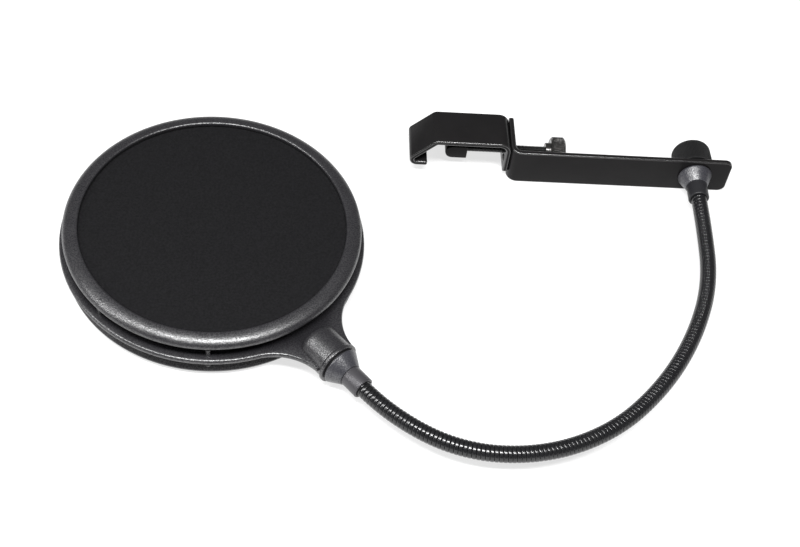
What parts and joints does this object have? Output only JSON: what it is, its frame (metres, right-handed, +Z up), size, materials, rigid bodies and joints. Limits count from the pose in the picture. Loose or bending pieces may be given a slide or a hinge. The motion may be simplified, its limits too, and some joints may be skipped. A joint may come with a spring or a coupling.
{
  "type": "pop filter",
  "caption": "Round double-screen pop filter on a curved gooseneck, with a flat steel bar, hook and screw clamp that grip a microphone stand.",
  "frame": {"origin": "centre of the round head, on the surface the filter lies on", "axes": "+Z up off the surface; +X along the clamp's bar from the hook to the knob's end; +Y from the gooseneck's end of the stud towards the knob"},
  "size_m": [0.3677, 0.2187, 0.027],
  "materials": {
    "bezel_plastic": "satin, lightly textured dark grey",
    "screen_nylon": "close woven black nylon",
    "hoop_plastic": "matt black",
    "washer_plastic": "matt black",
    "cone_plastic": "satin dark grey",
    "knob_plastic": "matt black, finely fluted",
    "gooseneck_steel": "semi-gloss black over a wound steel tube",
    "ferrule_grey": "satin dark grey",
    "ferrule_dark": "satin black",
    "bracket_paint": "gloss black",
    "rivet_steel": "black",
    "jaw_steel": "black",
    "screw_steel": "blackened steel, knurled head",
    "stud_steel": "plain zinc plated",
    "brass_insert": "plain"
  },
  "bodies": {
    "clamp_base": {"bar": "bracket_paint", "hook": "bracket_paint", "rivet_near": "rivet_steel", "rivet_far": "rivet_steel", "thread_bush": "rivet_steel"},
    "jaw": {"jaw": "jaw_steel"},
    "screw": {"screw_rod": "screw_steel", "screw_head": "screw_steel"},
    "arm": {"swivel_washer": "washer_plastic", "clamp_cone": "cone_plastic", "clamp_ferrule": "ferrule_dark", "clamp_stud": "stud_steel", "neck_span_8": "gooseneck_steel"},
    "link_7": {"neck_span_7": "gooseneck_steel"},
    "link_6": {"neck_span_6": "gooseneck_steel"},
    "link_5": {"neck_span_5": "gooseneck_steel"},
    "link_4": {"neck_span_4": "gooseneck_steel"},
    "link_3": {"neck_span_3": "gooseneck_steel"},
    "link_2": {"neck_span_2": "gooseneck_steel"},
    "neck_end": {"neck_span_1": "gooseneck_steel", "head_ferrule": "ferrule_grey", "head_cone": "cone_plastic", "head_washer": "washer_plastic", "head_stud": "stud_steel"},
    "head": {"centre_frame": "bezel_plastic", "hub_insert": "brass_insert", "front_bezel": "bezel_plastic", "front_screen": "screen_nylon", "front_hoop": "hoop_plastic", "rear_bezel": "bezel_plastic", "rear_screen": "screen_nylon", "rear_hoop": "hoop_plastic"},
    "knob_washer": {"knob_washer": "washer_plastic"},
    "knob": {"knob": "knob_plastic", "knob_insert": "brass_insert"}
  },
  "joints": [
    {"name": "arm_swivel", "type": "hinge", "parent": "clamp_base", "child": "arm", "pos_m": [0.26807, 0.06083, 0.0123], "axis": [0, 1, 0], "continuous": true},
    {"name": "neck_bend_7", "type": "hinge", "parent": "arm", "child": "link_7", "pos_m": [0.26695, 0.00425, 0.0123], "axis": [0, 0, 1], "range_deg": [-5, 28]},
    {"name": "neck_bend_6", "type": "hinge", "parent": "link_7", "child": "link_6", "pos_m": [0.25893, -0.03366, 0.0123], "axis": [-0.9361, 0.3518, 0], "range_deg": [-25, 25]},
    {"name": "neck_bend_5", "type": "hinge", "parent": "link_6", "child": "link_5", "pos_m": [0.24133, -0.06826, 0.0123], "axis": [0, 0, 1], "range_deg": [-5, 28]},
    {"name": "neck_bend_4", "type": "hinge", "parent": "link_5", "child": "link_4", "pos_m": [0.21634, -0.09795, 0.0123], "axis": [-0.6833, 0.7302, 0], "range_deg": [-25, 25]},
    {"name": "neck_bend_3", "type": "hinge", "parent": "link_4", "child": "link_3", "pos_m": [0.18367, -0.11864, 0.0123], "axis": [0, 0, 1], "range_deg": [-5, 28]},
    {"name": "neck_bend_2", "type": "hinge", "parent": "link_3", "child": "link_2", "pos_m": [0.14562, -0.12535, 0.0123], "axis": [0.0279, 0.9996, 0], "range_deg": [-25, 25]},
    {"name": "neck_bend_1", "type": "hinge", "parent": "link_2", "child": "neck_end", "pos_m": [0.10854, -0.11496, 0.0123], "axis": [0, 0, 1], "range_deg": [-5, 28]},
    {"name": "head_swivel", "type": "hinge", "parent": "neck_end", "child": "head", "pos_m": [0.06626, -0.07623, 0.0123], "axis": [0.6561, -0.7547, 0], "range_deg": [-90, 90]},
    {"name": "knob_travel", "type": "slide", "parent": "arm", "child": "knob_washer", "axis": [0, 1, 0], "range_m": [0, 0.006]},
    {"name": "knob_turn", "type": "hinge", "parent": "knob_washer", "child": "knob", "pos_m": [0.26807, 0.06083, 0.0123], "axis": [0, 1, 0], "range_deg": [0, 2161]},
    {"name": "jaw_travel", "type": "slide", "parent": "clamp_base", "child": "jaw", "axis": [1, 0, 0], "range_m": [-0.0094, 0.0192]},
    {"name": "screw_turn", "type": "hinge", "parent": "jaw", "child": "screw", "pos_m": [0.16807, 0.07543, 0.011], "axis": [1, 0, 0], "range_deg": [-4235, 8645]}
  ],
  "couplings": [
    {"joint": "screw_turn", "follows": "jaw_travel", "rad_per_m": 7854},
    {"joint": "knob_turn", "follows": "knob_travel", "rad_per_m": 6283.2}
  ]
}
